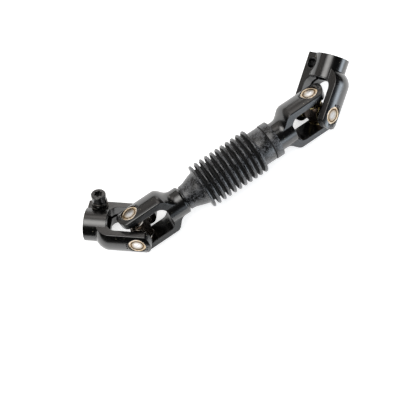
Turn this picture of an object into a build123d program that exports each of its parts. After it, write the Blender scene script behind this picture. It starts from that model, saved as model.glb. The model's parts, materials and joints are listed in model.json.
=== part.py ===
from build123d import *
import math
import os

# Telescopic steering shaft with a universal joint at each end, in millimetres.
# It lies on a level surface with both joints bent. +X runs along the centre shaft, from the
# lower joint to the upper one, and +Z is up.

# Universal joints
joint_spacing = 190.6          # between the two joint centres
cup_radius = 8.0
cup_face = 20.5                # joint centre to the outer face of a bearing cup
cup_length = 9.6
cup_floor = 1.3
cup_chamfer = 0.4
dish_radius = 5.3              # shallow dish in the middle of a cup's face
dish_depth = 0.55
groove_radius = 6.0            # groove from the dish out to here
groove_depth = 0.45
rim_line = (6.5, 6.75)         # fine line turned in the rim
rim_line_depth = 0.25
trunnion_radius = 4.85
needle_radius = 0.9
needle_length = 7.6
needles_per_cup = 19
needle_gap = 0.03
needle_end_play = 0.2
trunnion_end_play = 0.1
trunnion_chamfer = 0.5
neck_radius = 6.4
neck_end = 8.9
spider_width = 17.4
spider_height = 13.0
spider_round = 10.4
oil_way_radius = 1.5
retainer_radius = 8.4
retainer_end = 10.2
retainer_wall = 0.5
seal_start = 9.6
seal_inset = 0.6

# Bend of each joint at rest, in degrees: cross about the shaft yoke's pins, then
# clamp yoke about its own pins
lower_cross_turn = -29.2
lower_clamp_turn = -25.6
upper_cross_turn = 18.4
upper_clamp_turn = 36.8
rest_roll = 49.2               # shaft yoke pins above level, so that the shaft rests on the floor

# Yoke arms
arm_half_width = 10.5
arm_radius = 22.2
arm_tip_radius = 12.4
arm_inner = 13.8
arm_edge = 1.1
crotch = 28.2                  # joint centre to the hub, between a shaft yoke's arms
clamp_crotch = 28.8            # the same in a clamp yoke
crotch_corner = 8.5
stake_radius = 0.9             # peening dents beside each cup
stake_orbit = 9.1
stake_reach = 21.9
stake_turns = (-18, 0, 18, 162, 180, 198)
tool = 60.0                    # side of a cutting block, larger than any yoke

# Clamp yokes
barrel_radius = 15.0
barrel_end = 48.9
shoulder_radius = arm_radius + 0.01
shoulder_start = 25.0
shoulder_end = 37.7
bore_radius = 9.5
slit_width = 3.0
slit_start = 22.0
slit_overlap = 2.0             # how far the slit runs past the wall of the bore
ear_blend = 1.2
lower_bolt_along = 38.2        # joint centre to pinch bolt, along the yoke
lower_bolt_aside = 13.8        # bore axis to pinch bolt
upper_bolt_along = 39.3
upper_bolt_aside = 12.7
bore_lead_in = 0.8
clearance_radius = 4.25
clearance_chamfer = 0.5
tapped_radius = 3.4
seat_radius = 8.0              # spot face under the bolt set

# Pinch bolt set, M8
bolt_radius = 4.0
bolt_length = 30.0
bolt_pitch = 1.25
thread_length = 20.0
thread_depth = 0.6
head_radius = 6.5
head_height = 8.0
head_chamfer = 0.6
tip_chamfer = 0.7
first_groove = 1.2
thread_proud = 0.1
socket_depth = 4.0
socket_radius = 2.8            # six-lobe socket
lobe_radius = 1.15
lobe_orbit = 2.6
flat_washer_radius = 7.5
flat_washer_height = 1.6
nut_across_flats = 13.0
nut_height = 4.0
nut_chamfer = 0.6
nut_corner_cut = 0.15
lock_washer_radius = 6.9
lock_washer_height = 2.0
lock_washer_gap = 0.6
split_turn = 35
split_slant = 25

# Shaft yokes and telescopic centre
lower_hub_radius = 13.3
lower_hub_end = 46.7
hub_chamfer = 1.3
neck_ring_radius = 10.9        # on the lower hub, where the boot butts
neck_ring_end = 47.6
upper_hub_radius = 13.9
upper_hub_end = 47.6
hub_shoulder_start = 24.6
hub_shoulder_end = 40.0
upper_socket_radius = 11.8
upper_socket_depth = 12.0
shank_radius = 9.0
spline_start = 110.0
shank_end = 134.0
spline_height = 1.0
spline_teeth = 12
tooth_width = 2.3
slide_clearance = 0.08
tube_start = 72.0
tube_radius = 13.8
bush_radius = 11.0
bush_start = 74.4
bush_length = 12.0
circlip_width = 1.2
circlip_radius = 12.0
circlip_inner = 9.7
circlip_gap = 5.0
shank_chamfer = 0.8

# Bellows boot
boot_start = 47.7
boot_end = 145.5
boot_wall = 1.3
boot_slack = 0.1               # boot to the shank
collar_slack = 0.2             # boot to the tube
cuff_radius = 11.9
cuff_step = 0.6
cuff_end = 52.5
cone_end = 63.6
cone_end_radius = 15.4
crest_radius = 21.65
root_radius = 16.2
crests = 11
first_crest = 66.9
crest_pitch = 5.65
crest_flat = 0.8               # half the width of a crest's top
root_flat = 0.3
collar_radius = 16.9
collar_start = 126.6
collar_groove = 137.5
collar_groove_half = 0.4
collar_groove_depth = 0.6
band_radius = 17.4             # end of the collar, beyond its groove


PLANES = {"X": Plane.YZ, "Y": Plane.ZX, "Z": Plane.XY}


def cylinder(radius, start, end, axis="Z"):
    """A solid bar about one of the local axes."""
    return extrude(PLANES[axis].offset(start) * Circle(radius), end - start)


def ring(outer, inner, start, end, axis="Z"):
    return cylinder(outer, start, end, axis) - cylinder(inner, start, end, axis)


def block(x, y, z):
    """A box between two limits on each local axis."""
    size = (x[1] - x[0], y[1] - y[0], z[1] - z[0])
    return Pos(x[0], y[0], z[0]) * Box(*size, align=(Align.MIN, Align.MIN, Align.MIN))


def turned(outline):
    """A solid of revolution about Z from a closed outline of (radius, height)."""
    return revolve(make_face(Plane.XZ * outline), Axis.Z)


# ---- yokes: local X along the pins, local Z from the joint centre to the hub ----

def arms(top):
    """Two arms as one bar: rounded section across, straight sides and a round tip."""
    section = Circle(arm_radius) & Rectangle(2 * tool, 2 * arm_half_width)
    section = fillet(section.vertices(), arm_edge)
    bar = extrude(Plane.XY.offset(-tool) * section, tool + top)
    sides = block((-tool, tool), (-tool, tool), (0, top))
    return bar & (sides + cylinder(arm_tip_radius, -tool, tool, "X"))


def yoke_window(top):
    """The gap between the arms, rounded where it meets the hub."""
    gap = block((-arm_inner, arm_inner), (-tool, tool), (-tool, top))
    corners = gap.edges().filter_by(Axis.Y).group_by(Axis.Z)[-1]
    return fillet(corners, crotch_corner)


def pin_bores():
    return cylinder(cup_radius, -tool, tool, "X")


def stake_marks():
    """Peening dents beside each cup, on both sides along the arm."""
    dents = []
    for side in (-1, 1):
        for turn in stake_turns:
            spot = Pos(side * stake_reach, 0, 0) * Rot(turn, 0, 0) * Pos(0, 0, stake_orbit)
            dents.append(spot * Sphere(stake_radius))
    return dents


def clamp_shoulder():
    """Shape that the front arm is cut to, curving down onto the barrel."""
    side = Line((shoulder_radius, -tool), (shoulder_radius, shoulder_start))
    curve = TangentArc(side @ 1, (barrel_radius - 0.6, shoulder_end), tangent=(0, 1))
    closing = Polyline(curve @ 1, (0, shoulder_end), (0, -tool), side @ 0)
    return turned(Curve() + [side, curve, closing])


def clamp_yoke(bolt_aside, bolt_along, bolt_side):
    """Yoke with a slit barrel. The bolt goes in from bolt_side, 1 or -1 along local Y."""
    front = clamp_shoulder() & arms(shoulder_end) & block((0, tool), (-tool, tool), (-tool, tool))
    rear = arms(barrel_end) & block((-tool, 0), (-tool, tool), (-tool, tool))
    yoke = front + rear + cylinder(barrel_radius, clamp_crotch, barrel_end)
    yoke = yoke - yoke_window(clamp_crotch)
    creases = [
        edge for edge in yoke.edges().filter_by(Axis.Z)
        if abs(abs(edge.center().Y) - arm_half_width) < 0.01
        and -barrel_radius < edge.center().X < 0
        and edge.center().Z > clamp_crotch
    ]
    yoke = fillet(creases, ear_blend)
    lead_in = Cone(
        bore_radius, bore_radius + bore_lead_in, bore_lead_in,
        align=(Align.CENTER, Align.CENTER, Align.MAX))
    yoke = yoke - cylinder(bore_radius, 0, tool) - pin_bores() - Pos(0, 0, barrel_end) * lead_in
    slit_end = bore_radius - slit_overlap
    slit = block((-tool, -slit_end), (-slit_width / 2, slit_width / 2), (slit_start, tool))
    slit_root = cylinder(slit_width / 2, -tool, -slit_end, "X")
    yoke = yoke - slit - Pos(0, 0, slit_start) * slit_root
    hole = Pos(-bolt_aside, 0, bolt_along) * Rot(-90 * bolt_side, 0, 0)
    mouth = Cone(
        clearance_radius, clearance_radius + clearance_chamfer, clearance_chamfer,
        align=(Align.CENTER, Align.CENTER, Align.MAX))
    yoke = yoke - hole * cylinder(clearance_radius, 0, tool)
    yoke = yoke - hole * cylinder(tapped_radius, -tool, 0)
    yoke = yoke - hole * cylinder(seat_radius, arm_half_width, tool)
    return yoke - hole * Pos(0, 0, arm_half_width) * mouth - stake_marks()


def hub_shoulder(hub_radius, hub_end):
    """Shape that the arms are cut to, swelling out of a round hub."""
    side = Line((shoulder_radius, -tool), (shoulder_radius, hub_shoulder_start))
    curve = Spline(side @ 1, (hub_radius, hub_shoulder_end), tangents=[(0, 1), (0, 1)])
    hub = Polyline(
        curve @ 1, (hub_radius, hub_end - hub_chamfer), (hub_radius - hub_chamfer, hub_end),
        (0, hub_end), (0, -tool), side @ 0)
    return turned(Curve() + [side, curve, hub])


def shaft_yoke(hub_radius, hub_end):
    hub = cylinder(hub_radius, crotch, tool)
    yoke = hub_shoulder(hub_radius, hub_end) & (arms(hub_shoulder_end) + hub)
    return yoke - yoke_window(crotch) - pin_bores() - stake_marks()


def lower_shaft_yoke():
    yoke = shaft_yoke(lower_hub_radius, lower_hub_end)
    return yoke + cylinder(neck_ring_radius, crotch, neck_ring_end) - cylinder(shank_radius, 0, tool)


def upper_shaft_yoke():
    socket = cylinder(upper_socket_radius, upper_hub_end - upper_socket_depth, tool)
    return shaft_yoke(upper_hub_radius, upper_hub_end) - socket


# ---- bearings: local Z out along a pin, from the joint centre ----

def bearing_cup():
    """Drawn cup: a dished face with a groove round the dish and a line in the rim."""
    inner = trunnion_radius + 2 * needle_gap + 2 * needle_radius
    cup = cylinder(cup_radius, cup_face - cup_length, cup_face)
    cup = chamfer(cup.edges().group_by(Axis.Z)[-1], cup_chamfer)
    cup = cup - cylinder(inner, 0, cup_face - cup_floor)
    curve = (dish_radius ** 2 + dish_depth ** 2) / (2 * dish_depth)
    dish = Pos(0, 0, cup_face - dish_depth + curve) * Rot(90, 0, 0) * Sphere(curve)
    groove = ring(groove_radius, dish_radius, cup_face - groove_depth, tool)
    line = ring(rim_line[1], rim_line[0], cup_face - rim_line_depth, tool)
    return cup - dish - groove - line


def needle_set():
    """Full complement of needle rollers round one trunnion."""
    orbit = trunnion_radius + needle_gap + needle_radius
    start = cup_face - cup_floor - needle_length - needle_end_play
    needles = []
    for index in range(needles_per_cup):
        needle = cylinder(needle_radius, start, start + needle_length)
        needles.append(Rot(0, 0, 360 * index / needles_per_cup) * Pos(orbit, 0, 0) * needle)
    return needles


def retainer():
    """Pressed steel shield on the neck of a trunnion."""
    shield = ring(retainer_radius, trunnion_radius, neck_end, seal_start)
    return shield + ring(retainer_radius, retainer_radius - retainer_wall, seal_start, retainer_end)


def seal():
    return ring(retainer_radius - seal_inset, trunnion_radius, seal_start, retainer_end)


def along_pins(piece, axis):
    """One copy on each end of the cross's X or Y pins."""
    turns = {"X": [(0, 90, 0), (0, -90, 0)], "Y": [(-90, 0, 0), (90, 0, 0)]}[axis]
    pieces = piece if isinstance(piece, list) else [piece]
    return [Rot(*turn) * item for turn in turns for item in pieces]


def cross():
    """Forged spider: a rounded centre, four necks and four ground trunnions."""
    spider = Box(spider_width, spider_width, spider_height) & Sphere(spider_round)
    end = cup_face - cup_floor - trunnion_end_play
    for axis in ("X", "Y"):
        neck = cylinder(neck_radius, -neck_end, neck_end, axis)
        pin = cylinder(trunnion_radius, -end, end, axis)
        spider = spider + neck + chamfer(pin.edges(), trunnion_chamfer)
    for axis in ("X", "Y"):
        spider = spider - cylinder(oil_way_radius, -tool, tool, axis)
    return spider


# ---- pinch bolt set: local Z along the bolt, from the clamp yoke's bore axis ----

def pinch_bolt():
    """Socket head cap screw with its thread cut as closed grooves."""
    seat = arm_half_width + flat_washer_height + nut_height + lock_washer_height
    tip = seat - bolt_length
    head = cylinder(head_radius, seat, seat + head_height)
    head = chamfer(head.edges().group_by(Axis.Z)[-1], head_chamfer)
    shank = cylinder(bolt_radius, tip, seat)
    bolt = head + chamfer(shank.edges().group_by(Axis.Z)[0], tip_chamfer)
    outside = bolt_radius + thread_proud
    for index in range(int(thread_length / bolt_pitch)):
        height = tip + first_groove + index * bolt_pitch
        groove = Polyline(
            (outside, height), (bolt_radius - thread_depth, height + bolt_pitch / 2),
            (outside, height + bolt_pitch), (outside, height))
        bolt = bolt - turned(groove)
    socket_floor = seat + head_height - socket_depth
    socket = cylinder(socket_radius, socket_floor, tool)
    for index in range(6):
        lobe = Pos(lobe_orbit, 0, 0) * cylinder(lobe_radius, socket_floor, tool)
        socket = socket + Rot(0, 0, 60 * index) * lobe
    return bolt - socket


def flat_washer():
    start = arm_half_width
    return ring(flat_washer_radius, clearance_radius, start, start + flat_washer_height)


def jam_nut():
    start = arm_half_width + flat_washer_height
    corner = nut_across_flats / 2 / math.cos(math.radians(30))
    nut = extrude(Plane.XY.offset(start) * RegularPolygon(corner, 6), nut_height)
    bevel = Pos(0, 0, start + nut_height / 2) * Cylinder(corner - nut_corner_cut, nut_height)
    nut = nut & chamfer(bevel.edges(), nut_chamfer)
    return nut - cylinder(bolt_radius, -tool, tool)


def lock_washer():
    """Split spring washer."""
    start = arm_half_width + flat_washer_height + nut_height
    washer = ring(lock_washer_radius, bolt_radius + thread_proud, start, start + lock_washer_height)
    cut = Rot(split_slant, 0, 0) * Box(lock_washer_radius, lock_washer_gap, 3 * lock_washer_height)
    cut = Pos(lock_washer_radius, 0, start + lock_washer_height / 2) * cut
    return washer - Rot(0, 0, split_turn) * cut


# ---- telescopic centre: local X along the shaft, from the lower joint centre ----

def spline(tip, root, width, start, end):
    """A splined bar with straight teeth."""
    bar = cylinder(root, start, end, "X")
    for index in range(spline_teeth):
        tooth = block((start, end), (root - spline_height, tip), (-width / 2, width / 2))
        bar = bar + Rot(360 * index / spline_teeth, 0, 0) * tooth
    return bar & cylinder(tip, start, end, "X")


def slip_shaft():
    shank = cylinder(shank_radius, crotch, shank_end, "X")
    shank = chamfer(shank.edges().group_by(Axis.X)[0], shank_chamfer)
    teeth = spline(shank_radius + spline_height, shank_radius, tooth_width, spline_start, shank_end)
    return shank + teeth


def circlip():
    """Internal ring that holds the guide bush in the tube's mouth."""
    start = bush_start - circlip_width
    band = ring(circlip_radius, circlip_inner, start, bush_start, "X")
    return band - block((0, tool * 3), (0, tool), (-circlip_gap / 2, circlip_gap / 2))


def slip_tube():
    shoulder = joint_spacing - upper_hub_end
    spigot_end = shoulder + upper_socket_depth
    tube = cylinder(tube_radius, tube_start, shoulder, "X")
    tube = tube + cylinder(upper_socket_radius, shoulder, spigot_end, "X")
    bore = spline(
        shank_radius + spline_height + slide_clearance, shank_radius + slide_clearance,
        tooth_width + 2 * slide_clearance, tube_start, spigot_end)
    tube = tube - bore - cylinder(bush_radius, 0, bush_start + bush_length, "X")
    return tube - cylinder(circlip_radius, bush_start - circlip_width, bush_start, "X")


def guide_bush():
    return ring(bush_radius, shank_radius + slide_clearance, bush_start, bush_start + bush_length, "X")


def boot_outside():
    """Half section of the boot's outer surface, from the small cuff to the large collar."""
    line = [
        (boot_start, shank_radius + boot_slack), (boot_start, cuff_radius - cuff_step),
        (boot_start + 1, cuff_radius), (cuff_end, cuff_radius), (cone_end, cone_end_radius)]
    for index in range(crests):
        crest = first_crest + index * crest_pitch
        root = crest + crest_pitch / 2
        line += [(crest - crest_flat, crest_radius), (crest + crest_flat, crest_radius)]
        if index < crests - 1:
            line += [(root - root_flat, root_radius), (root + root_flat, root_radius)]
    groove_start = collar_groove - collar_groove_half
    groove_end = collar_groove + collar_groove_half
    groove_floor = collar_radius - collar_groove_depth
    line += [(collar_start, collar_radius), (groove_start, collar_radius)]
    line += [(groove_start, groove_floor), (groove_end, groove_floor)]
    return line + [(groove_end, band_radius), (boot_end, band_radius)]


def boot_inside():
    """Half section of the boot's inner surface, back from the collar."""
    fold = crest_radius - boot_wall - root_flat
    line = [(boot_end, tube_radius + collar_slack), (collar_start, tube_radius + collar_slack)]
    for index in reversed(range(crests)):
        crest = first_crest + index * crest_pitch
        line += [(crest + root_flat, fold), (crest - root_flat, fold)]
        if index > 0:
            line += [(crest - crest_pitch / 2, root_radius - boot_wall)]
    return line + [(cone_end, cone_end_radius - boot_wall), (cuff_end, shank_radius + boot_slack)]


def bellows_boot():
    points = boot_outside() + boot_inside()
    section = Polyline(*points, points[0])
    return revolve(make_face(Plane.XY * section), Axis.X)


# ---- placing ----

def turned_about(vector, axis, degrees):
    return Vector(*vector).rotate(Axis((0, 0, 0), tuple(axis)), degrees)


def joint_planes(centre, cross_turn, clamp_turn, outward):
    """Planes of one joint: shaft yoke (Z inward), cross (Z across) and clamp yoke (Z outward)."""
    pin = Vector(0, 1, 0)
    cross_pin = turned_about((0, 0, 1), pin, cross_turn)
    reach = turned_about(turned_about((outward, 0, 0), pin, cross_turn), cross_pin, clamp_turn)
    return {
        "shaft_yoke": Plane(origin=centre, x_dir=pin, z_dir=(-outward, 0, 0)),
        "cross": Plane(origin=centre, x_dir=cross_pin, z_dir=cross_pin.cross(pin)),
        "clamp_yoke": Plane(origin=centre, x_dir=cross_pin, z_dir=reach),
    }


lower = joint_planes((0, 0, 0), lower_cross_turn, lower_clamp_turn, -1)
upper = joint_planes((joint_spacing, 0, 0), upper_cross_turn, upper_clamp_turn, 1)
bolt_plane = Location(lower["clamp_yoke"]) * Location(
    (-lower_bolt_aside, 0, lower_bolt_along), (-90, 0, 0))


def place(pieces, location):
    items = pieces if isinstance(pieces, list) else [pieces]
    moved = [location * item for item in items]
    return [solid for item in moved for solid in item.solids()]


def joint_nodes(name, planes, yoke, clamp):
    """Everything about one universal joint, by node name."""
    at_cross = Location(planes["cross"])
    retainers = along_pins(retainer(), "X") + along_pins(retainer(), "Y")
    seals = along_pins(seal(), "X") + along_pins(seal(), "Y")
    return {
        f"{name}_shaft_yoke": place(yoke, Location(planes["shaft_yoke"])),
        f"{name}_clamp_yoke": place(clamp, Location(planes["clamp_yoke"])),
        f"{name}_cross": place(cross(), at_cross),
        f"{name}_cross_retainers": place(retainers, at_cross),
        f"{name}_cross_seals": place(seals, at_cross),
        f"{name}_clamp_cups": place(along_pins(bearing_cup(), "X"), at_cross),
        f"{name}_shaft_cups": place(along_pins(bearing_cup(), "Y"), at_cross),
        f"{name}_clamp_needles": place(along_pins(needle_set(), "X"), at_cross),
        f"{name}_shaft_needles": place(along_pins(needle_set(), "Y"), at_cross),
    }


def build():
    nodes = {}
    lower_clamp = clamp_yoke(lower_bolt_aside, lower_bolt_along, 1)
    upper_clamp = clamp_yoke(upper_bolt_aside, upper_bolt_along, -1)
    nodes.update(joint_nodes("lower", lower, lower_shaft_yoke(), lower_clamp))
    nodes.update(joint_nodes("upper", upper, upper_shaft_yoke(), upper_clamp))
    nodes["pinch_bolt"] = place(pinch_bolt(), bolt_plane)
    nodes["flat_washer"] = place(flat_washer(), bolt_plane)
    nodes["jam_nut"] = place(jam_nut(), bolt_plane)
    nodes["lock_washer"] = place(lock_washer(), bolt_plane)
    nodes["slip_shaft"] = place(slip_shaft(), Location())
    nodes["slip_tube"] = place(slip_tube(), Location())
    nodes["guide_bush"] = place(guide_bush(), Location())
    nodes["bush_circlip"] = place(circlip(), Location())
    nodes["bellows_boot"] = place(bellows_boot(), Location())
    return nodes


def resting_place(nodes):
    """Roll the shaft about +X and bring the centre of its footprint to the origin."""
    roll = Location((0, 0, 0), (rest_roll, 0, 0))
    everything = Compound([solid for solids in nodes.values() for solid in solids])
    box = (roll * everything).bounding_box()
    middle = box.center()
    return Location((-middle.X, -middle.Y, -box.min.Z)) * roll


def main():
    os.makedirs("parts", exist_ok=True)
    nodes = build()
    rest = resting_place(nodes)
    for name, solids in nodes.items():
        export_step(rest * Compound(solids), f"parts/{name}.step")


if __name__ == "__main__":
    main()
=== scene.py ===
import json
import math

import bmesh
import bpy
from mathutils import Matrix, Vector


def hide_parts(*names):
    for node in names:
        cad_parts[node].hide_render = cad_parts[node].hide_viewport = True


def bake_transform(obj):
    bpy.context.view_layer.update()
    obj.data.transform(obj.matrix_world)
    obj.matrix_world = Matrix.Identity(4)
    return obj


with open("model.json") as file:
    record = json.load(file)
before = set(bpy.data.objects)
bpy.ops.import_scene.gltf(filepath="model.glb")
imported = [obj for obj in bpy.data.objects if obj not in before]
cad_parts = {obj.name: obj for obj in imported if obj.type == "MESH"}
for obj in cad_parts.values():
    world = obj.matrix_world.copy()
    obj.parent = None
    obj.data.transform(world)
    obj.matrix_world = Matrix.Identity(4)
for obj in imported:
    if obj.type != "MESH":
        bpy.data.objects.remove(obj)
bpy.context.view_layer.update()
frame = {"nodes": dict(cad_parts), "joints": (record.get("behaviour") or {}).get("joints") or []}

MM = 0.001
joints = {j["name"]: j for j in frame["joints"]}
lower = Vector(joints["lower_shaft_pins"]["pos_m"])
upper = Vector(joints["upper_shaft_pins"]["pos_m"])
shaft_pin = Vector(joints["lower_shaft_pins"]["axis"]).normalized()
lower_pin = Vector(joints["lower_clamp_pins"]["axis"]).normalized()
upper_pin = Vector(joints["upper_clamp_pins"]["axis"]).normalized()


# ---- materials ----

class Shader:
    """A material whose nodes are added one line at a time."""

    def __init__(self, name):
        self.material = bpy.data.materials.new(name)
        self.material.use_nodes = True
        self.tree = self.material.node_tree
        self.tree.nodes.clear()
        self.out = self.tree.nodes.new("ShaderNodeOutputMaterial")
        self.bsdf = self.tree.nodes.new("ShaderNodeBsdfPrincipled")
        self.tree.links.new(self.bsdf.outputs["BSDF"], self.out.inputs["Surface"])
        self.coords = self.tree.nodes.new("ShaderNodeTexCoord").outputs["Object"]

    def plug(self, socket, value):
        if isinstance(value, bpy.types.NodeSocket):
            self.tree.links.new(value, socket)
        elif value is not None:
            socket.default_value = value

    def add(self, kind, inputs=None, output=0, **settings):
        node = self.tree.nodes.new(kind)
        for key, value in settings.items():
            setattr(node, key, value)
        for key, value in (inputs or {}).items():
            self.plug(node.inputs[key], value)
        return node.outputs[output]

    def noise(self, scale, detail=3.0, roughness=0.5, coords=None):
        """Noise from 0 to 1 with about scale lumps to the metre."""
        return self.add("ShaderNodeTexNoise", {
            "Vector": coords or self.coords, "Scale": scale, "Detail": detail,
            "Roughness": roughness})

    def math(self, operation, a, b):
        return self.add("ShaderNodeMath", {0: a, 1: b}, operation=operation)

    def ramp(self, value, low, high, out_low=0.0, out_high=1.0, smooth=True):
        """out_low where value is at low, rising or falling to out_high at high."""
        return self.add(
            "ShaderNodeMapRange",
            {"Value": value, "From Min": low, "From Max": high,
             "To Min": out_low, "To Max": out_high},
            interpolation_type="SMOOTHSTEP" if smooth else "LINEAR")

    def mix(self, factor, a, b):
        node = self.tree.nodes.new("ShaderNodeMix")
        node.data_type = "RGBA"
        self.plug(node.inputs["Factor"], factor)
        self.plug(node.inputs["A"], a)
        self.plug(node.inputs["B"], b)
        return node.outputs["Result"]

    def bevel(self, radius, samples):
        """Normals that turn gently over an edge."""
        return self.add("ShaderNodeBevel", {"Radius": radius}, samples=samples)

    def edge(self, radius):
        """0 on open surfaces, rising towards 1 on an edge."""
        bevel = self.bevel(radius, 6)
        normal = self.add("ShaderNodeNewGeometry", output=1)
        along = self.add(
            "ShaderNodeVectorMath", {0: bevel, 1: normal}, output=1, operation="DOT_PRODUCT")
        return self.ramp(along, 0.995, 0.75)

    def bump(self, height, distance, strength=1.0, normal=None):
        return self.add("ShaderNodeBump", {
            "Height": height, "Distance": distance, "Strength": strength, "Normal": normal})

    def finish(self, **sockets):
        for name, value in sockets.items():
            self.plug(self.bsdf.inputs[name.replace("_", " ")], value)
        return self.material


def colour(r, g, b):
    return (r, g, b, 1.0)


def grey(level):
    return colour(level, level, level)


def black_coating():
    """Semi-gloss black over forged steel, with softened edges, a few specks and a little lighter
    colour on edges, which is partly wear and partly a painted highlight.
    """
    edge_wear_and_highlight_strength = 0.4
    speck_strength = 0.7
    edge_softness = 0.0006
    s = Shader("black_coating")
    patches = s.noise(70, 3, 0.55)
    # Lighter colour on edges, in patches: partly real wear and partly a painted highlight along
    # the edges.
    edge_wear_and_highlight = s.math("MULTIPLY", s.edge(0.0005), s.ramp(s.noise(260, 4, 0.7), 0.45, 0.7))
    black = grey(0.0007)
    faded = colour(0.0022, 0.0020, 0.0018)
    bare = colour(0.08, 0.075, 0.07)
    dust = colour(0.30, 0.28, 0.20)
    base = s.mix(s.ramp(patches, 0.35, 0.7), black, faded)
    base = s.mix(s.math("MULTIPLY", edge_wear_and_highlight, edge_wear_and_highlight_strength), base, bare)
    speck = s.ramp(s.noise(600, 1), 0.765, 0.785)
    base = s.mix(s.math("MULTIPLY", speck, speck_strength), base, dust)
    rough = s.ramp(s.noise(140, 3), 0.3, 0.7, 0.19, 0.23)
    soft = s.bevel(edge_softness, 8)
    ripple = s.bump(s.noise(160, 2), 0.00006, 0.5, soft)
    return s.finish(
        Base_Color=base, Roughness=rough, Normal=ripple, IOR=1.52, Specular_IOR_Level=1.0)


def steel(name, tint, rough_low, rough_high, metallic=1.0, level=0.5):
    """Plain metal or, with no metallic, plain black or plastic, stained darker in patches."""
    stain_strength = 0.35
    stain_tint = (0.45, 0.4, 0.33)
    edge_softness = 0.0005
    s = Shader(name)
    tone = s.noise(350, 4, 0.65)
    stained = [part * share for part, share in zip(tint, stain_tint)]
    stain = s.math("MULTIPLY", s.ramp(tone, 0.4, 0.75), stain_strength)
    base = s.mix(stain, colour(*tint), colour(*stained))
    rough = s.ramp(s.noise(500, 3), 0.3, 0.7, rough_low, rough_high)
    grain = s.bump(s.noise(900, 3), 0.00002, 0.6, s.bevel(edge_softness, 6))
    return s.finish(
        Base_Color=base, Roughness=rough, Metallic=metallic, Specular_IOR_Level=level,
        Normal=grain)


def cup_steel(name, centre, axis, painted_light_scale=1.0):
    """Bright cup with a cream rim round bronze grooves. centre and axis are the pins'. The middle
    of the face is a painted highlight fading to painted shade, with painted shade in a dark ring
    at the edge; the last argument scales how bright the middle is, painting light or shade on one
    pair of cups."""
    # The middle is a painted highlight out to the first radius, fading to painted shade by the
    # second.
    painted_highlight_end, painted_shade_start = 2.0, 4.9      # radii on the cup's face, in millimetres
    groove_in, groove_floor = 4.7, 5.2
    groove_out, rim_start = 5.95, 6.25
    line_in, line_floor = (6.40, 6.52), (6.85, 6.72)
    gap_shade_start, gap_shade_end = 7.62, 7.85
    wobble_width = 0.2
    s = Shader(name)
    arm = s.add(
        "ShaderNodeVectorMath", {0: s.coords, 1: tuple(centre)}, operation="SUBTRACT")
    across = s.add(
        "ShaderNodeVectorMath", {0: arm, 1: tuple(axis)}, operation="CROSS_PRODUCT")
    length = s.add("ShaderNodeVectorMath", {0: across}, output=1, operation="LENGTH")
    radius = s.math("MULTIPLY", length, 1 / MM)
    unevenness = s.math("SUBTRACT", s.noise(380, 3), 0.5)
    reach = s.math("ADD", radius, s.math("MULTIPLY", unevenness, wobble_width))
    stain = s.noise(520, 4, 0.7)
    stained = s.ramp(stain, 0.35, 0.65)
    # The disc is scaled per pair of cups as painted light or shade; all the cups are the same
    # part.
    bright = [painted_light_scale * part for part in (0.78, 0.77, 0.77)]
    dull = [painted_light_scale * part for part in (0.56, 0.53, 0.50)]
    disc = s.mix(s.ramp(stain, 0.42, 0.68), colour(*bright), colour(*dull))
    painted_shade_tone = s.mix(stained, colour(0.20, 0.155, 0.10), colour(0.36, 0.29, 0.21))
    groove = s.mix(stained, colour(0.035, 0.017, 0.006), colour(0.19, 0.10, 0.028))
    rim = s.mix(s.ramp(stain, 0.36, 0.7), colour(0.82, 0.72, 0.60), colour(0.60, 0.44, 0.25))
    # Painted highlight: the bright disc in the middle fades to the darker painted-shade tone
    # further out.
    base = s.mix(s.ramp(reach, painted_highlight_end, painted_shade_start, smooth=False), disc, painted_shade_tone)
    base = s.mix(s.ramp(reach, groove_in, groove_floor), base, groove)
    base = s.mix(s.ramp(reach, groove_out, rim_start), base, rim)
    line = s.math("MULTIPLY", s.ramp(reach, *line_in), s.ramp(reach, *line_floor))
    base = s.mix(line, base, groove)
    # Painted shade: a dark ring on the cup's outer edge for the gap round it in the bore.
    base = s.mix(s.ramp(radius, gap_shade_start, gap_shade_end), base, colour(0.10, 0.07, 0.05))
    rough = s.ramp(s.noise(600, 3), 0.3, 0.7, 0.16, 0.26)
    return s.finish(
        Base_Color=base, Roughness=rough, Metallic=1.0,
        Normal=s.bump(s.noise(300, 3), 0.00004, 0.6))


def rubber():
    """Black rubber with a mottled bloom of dust, left off the folds and the collar's groove so
    that they stay black as painted shade.
    """
    s = Shader("dusty_rubber")
    rest = s.add("ShaderNodeAttribute", output=1, attribute_name="rest_place")
    dust_outside_shade = s.add("ShaderNodeAttribute", output=2, attribute_name="dust_outside_shade")
    cloud = s.noise(110, 3, 0.5, rest)
    mottle = s.noise(560, 5, 0.8, rest)
    speck = s.noise(1500, 2, 0.6, rest)
    fine_share = 0.75
    fine = s.math("MULTIPLY", mottle, fine_share)
    bloom = s.math("ADD", fine, s.math("MULTIPLY", cloud, 1 - fine_share))
    # Painted shade: dust is kept out of the folds and the collar's groove so that they stay
    # black.
    dust = s.math("MULTIPLY", s.ramp(bloom, 0.46, 0.56), dust_outside_shade)
    base = s.mix(dust, colour(0.002, 0.002, 0.0021), colour(0.070, 0.073, 0.080))
    bare = s.ramp(dust_outside_shade, 0.0, 0.6, 0.8, 0.26)
    rough = s.math("MAXIMUM", bare, s.ramp(dust, 0.0, 1.0, 0.0, 0.42))
    height = s.math("ADD", s.math("MULTIPLY", speck, 0.4), mottle)
    return s.finish(
        Base_Color=base, Roughness=rough, Normal=s.bump(height, 0.00025, 0.6),
        Specular_IOR_Level=0.8)


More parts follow.
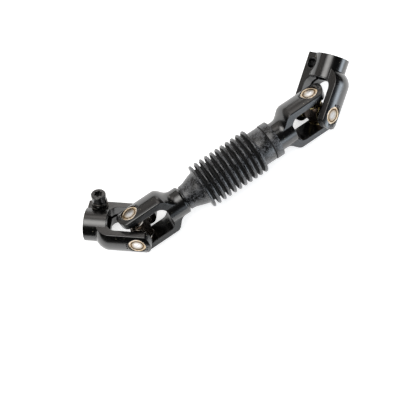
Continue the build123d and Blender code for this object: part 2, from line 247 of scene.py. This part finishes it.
coat = black_coating()
finishes = {
    "shaft_yoke": coat,
    "clamp_yoke": coat,
    # The lower shaft cups and the upper clamp cups are dimmed (0.62 and 0.55) as painted shade;
    # all four pairs are the same part.
    "lower_shaft_cups": cup_steel("lower_shaft_cup_steel", lower, shaft_pin, 0.62),
    "lower_clamp_cups": cup_steel("lower_clamp_cup_steel", lower, lower_pin),
    "upper_shaft_cups": cup_steel("upper_shaft_cup_steel", upper, shaft_pin),
    "upper_clamp_cups": cup_steel("upper_clamp_cup_steel", upper, upper_pin, 0.55),
    "needles": steel("needle_steel", (0.7, 0.7, 0.72), 0.12, 0.2),
    "cross": steel("cross_steel", (0.06, 0.045, 0.035), 0.22, 0.34),
    "retainers": steel("retainer_steel", (0.34, 0.31, 0.28), 0.14, 0.24),
    "upper_cross_retainers": steel("zinc_steel", (0.26, 0.215, 0.11), 0.14, 0.24),
    "seals": steel("seal_rubber", (0.012, 0.012, 0.012), 0.4, 0.6, metallic=0.0),
    "bolt": steel("bolt_black", (0.004, 0.004, 0.004), 0.2, 0.28, metallic=0.0, level=1.0),
    "nut": steel("nut_black", (0.003, 0.003, 0.003), 0.16, 0.24, metallic=0.0, level=1.0),
    "flat_washer": steel("washer_steel", (0.22, 0.21, 0.19), 0.3, 0.42),
    # The slip shaft's whole finish is darkened to paint the shade in the gap at the hub end.
    "slip_shaft": steel("shaft_steel", (0.035, 0.032, 0.03), 0.25, 0.38),
    "slip_tube": coat,
    "bush": steel("bush_plastic", (0.5, 0.42, 0.28), 0.4, 0.5, metallic=0.0),
    "circlip": steel("spring_steel", (0.2, 0.19, 0.18), 0.3, 0.4),
    "lock_washer": steel("lock_washer_steel", (0.16, 0.15, 0.14), 0.28, 0.4),
}
for name, node in frame["nodes"].items():
    words = [word for word in finishes if word in name]
    node.data.materials.clear()
    node.data.materials.append(finishes[max(words, key=len)] if words else coat)


# ---- bellows boot ----

CRESTS = 11
FIRST_CREST = 66.9              # millimetres along the shaft from the lower joint
CREST_PITCH = 5.65
CREST_HALF = [(0.75, 21.5), (1.3, 20.9), (1.62, 19.8), (1.8, 18.2), (1.95, 16.6)]
CREST_TOP = 21.65
ROOT = 16.15
ROOT_PLACES = (2.45, 3.2)       # on from a crest
FOLDS = (66.0, 124.5)           # the bellows, inside which the low places are painted shade, kept free of dust
SHADE_BELOW = 20.0
COLLAR_GROOVE = (137.0, 138.0)
SHADED_DUST = 0.05                    # how much dust the folds and the collar's groove get: little, so they stay black as painted shade


def boot_profile():
    """Outer half section of the boot as (distance along the shaft, radius), in millimetres."""
    line = [
        (47.7, 9.3), (47.7, 11.2), (48.0, 11.75), (48.7, 11.9), (50.5, 11.95), (52.6, 12.3),
        (55.0, 13.1), (57.5, 14.05), (60.0, 14.9), (62.4, 15.6), (64.2, 16.1)]
    rise = [(-side, r) for side, r in reversed(CREST_HALF)]
    for index in range(CRESTS):
        x = FIRST_CREST + index * CREST_PITCH
        line += [(x + side, r) for side, r in rise + [(0, CREST_TOP)] + CREST_HALF]
        if index < CRESTS - 1:
            line += [(x + place, ROOT) for place in ROOT_PLACES]
    line += [
        (126.0, 16.55), (127.2, 16.85), (131.0, 16.9), (136.7, 16.9), (137.05, 16.75),
        (137.1, 16.2), (137.9, 16.2), (137.95, 17.1), (138.3, 17.35), (144.7, 17.4),
        (145.3, 17.2), (145.5, 16.7), (145.5, 14.2)]
    return line


def dust_outside_shade_at(x, r):
    """How much dust a place on the boot gets: little in the folds and the collar's groove, which
    stay black as painted shade.
    """
    in_fold = FOLDS[0] < x < FOLDS[1] and r < SHADE_BELOW
    in_groove = COLLAR_GROOVE[0] < x < COLLAR_GROOVE[1]
    return SHADED_DUST if in_fold or in_groove else 1.0


def bellows():
    around = 128
    rings = []
    mesh = bpy.data.meshes.new("bellows")
    bm = bmesh.new()
    dust_outside_shade_layer = bm.verts.layers.float.new("dust_outside_shade")
    for x, r in boot_profile():
        row = []
        for k in range(around):
            angle = 2 * math.pi * k / around
            place = Vector((x * MM, r * MM * math.cos(angle), r * MM * math.sin(angle)))
            v = bm.verts.new(lower + place)
            v[dust_outside_shade_layer] = dust_outside_shade_at(x, r)
            row.append(v)
        rings.append(row)
    for a, b in zip(rings, rings[1:]):
        for k in range(around):
            n = (k + 1) % around
            bm.faces.new((a[k], a[n], b[n], b[k]))
    bmesh.ops.recalc_face_normals(bm, faces=bm.faces)
    bm.to_mesh(mesh)
    bm.free()
    mesh.materials.append(rubber())
    for face in mesh.polygons:
        face.use_smooth = True
    rest = mesh.attributes.new("rest_place", "FLOAT_VECTOR", "POINT")
    for k, v in enumerate(mesh.vertices):
        rest.data[k].vector = v.co
    piece = bpy.data.objects.new("bellows", mesh)
    bpy.context.scene.collection.objects.link(piece)
    return piece


boot = bellows()
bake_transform(boot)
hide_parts("bellows_boot")


# ---- studio ----

def softbox(name, azimuth, elevation, distance, size, radiance, tint):
    """A softbox facing the object, with soft edges: area lights of growing size, each a little
    further out. Azimuth is from +X towards +Y, in degrees; radiance is the brightness at the
    middle."""
    a, e = math.radians(azimuth), math.radians(elevation)
    direction = Vector((math.cos(a) * math.cos(e), math.sin(a) * math.cos(e), math.sin(e)))
    place = distance * direction
    layers = (0.55, 0.85, 1.15, 1.45)
    layer_step = 0.05
    for layer in layers:
        data = bpy.data.lights.new(name, "AREA")
        data.shape = "RECTANGLE"
        data.size, data.size_y = size[0] * layer, size[1] * layer
        data.energy = radiance / len(layers) * math.pi * data.size * data.size_y
        data.color = tint
        light = bpy.data.objects.new(name, data)
        light.location = place * (1 - layer_step + layer_step * layer)
        light.rotation_mode = "QUATERNION"
        light.rotation_quaternion = (-place).to_track_quat("-Z", "Y")
        bpy.context.scene.collection.objects.link(light)


def floor():
    mesh = bpy.data.meshes.new("floor")
    half = 3.0
    corners = [(-half, -half, 0), (half, -half, 0), (half, half, 0), (-half, half, 0)]
    mesh.from_pydata(corners, [], [(0, 1, 2, 3)])
    s = Shader("floor_paper")
    tone = s.ramp(s.noise(30, 2), 0.3, 0.7, 0.88, 0.90)
    paper = s.add("ShaderNodeCombineColor", {0: tone, 1: tone, 2: tone})
    mesh.materials.append(s.finish(
        Base_Color=paper, Roughness=0.9, Specular_IOR_Level=0.1, Emission_Color=grey(1),
        Emission_Strength=0.6))
    piece = bpy.data.objects.new("floor", mesh)
    bpy.context.scene.collection.objects.link(piece)
    return piece


def studio_world():
    """A pale backdrop: bright as seen, softer as fill and dim in reflections, so that gloss
    shows the softboxes."""
    as_seen, as_fill, in_gloss = 1.0, 0.45, 0.02
    world = bpy.data.worlds.new("studio")
    world.use_nodes = True
    tree = world.node_tree
    path = tree.nodes.new("ShaderNodeLightPath")
    seen = tree.nodes.new("ShaderNodeMapRange")
    seen.inputs["To Min"].default_value = as_fill
    seen.inputs["To Max"].default_value = as_seen
    tree.links.new(path.outputs["Is Camera Ray"], seen.inputs["Value"])
    strength = tree.nodes.new("ShaderNodeMapRange")
    strength.inputs["To Max"].default_value = in_gloss
    tree.links.new(seen.outputs["Result"], strength.inputs["To Min"])
    tree.links.new(path.outputs["Is Glossy Ray"], strength.inputs["Value"])
    background = tree.nodes["Background"]
    background.inputs["Color"].default_value = grey(1)
    tree.links.new(strength.outputs["Result"], background.inputs["Strength"])
    return world


floor()
softbox("key", 130, 72, 1.1, (0.65, 0.65), 4.4, (1.0, 0.985, 0.96))
softbox("back_panel", 95, 25, 1.4, (2.0, 0.9), 0.5, (1.0, 0.94, 0.89))
softbox("back_strip", 62, 12, 1.3, (0.3, 0.25), 2.4, (1.0, 0.96, 0.93))
softbox("window", -46, 12, 1.3, (0.85, 0.45), 5.2, (0.82, 0.91, 1.0))
softbox("window_side", -80, 16, 1.3, (0.45, 0.5), 2.6, (0.82, 0.91, 1.0))
softbox("back_top", 70, 46, 1.3, (0.5, 0.45), 1.2, (1.0, 0.95, 0.91))

scene = bpy.context.scene
scene.world = studio_world()
scene.view_settings.view_transform = "Standard"

camera_data = bpy.data.cameras.new("camera")
camera_data.sensor_width = 36.0
camera_data.lens = 46.96
camera = bpy.data.objects.new("camera", camera_data)
camera_place = lower + Vector((0.0456, -0.0846, 0.4831))
right = Vector((0.8289, -0.5570, -0.0504)).normalized()
back = Vector((-0.0298, -0.1339, 0.9905))
back = (back - back.dot(right) * right).normalized()
turn = Matrix((right, back.cross(right), back)).transposed()
camera.matrix_world = Matrix.Translation(camera_place) @ turn.to_4x4()
scene.collection.objects.link(camera)
scene.camera = camera
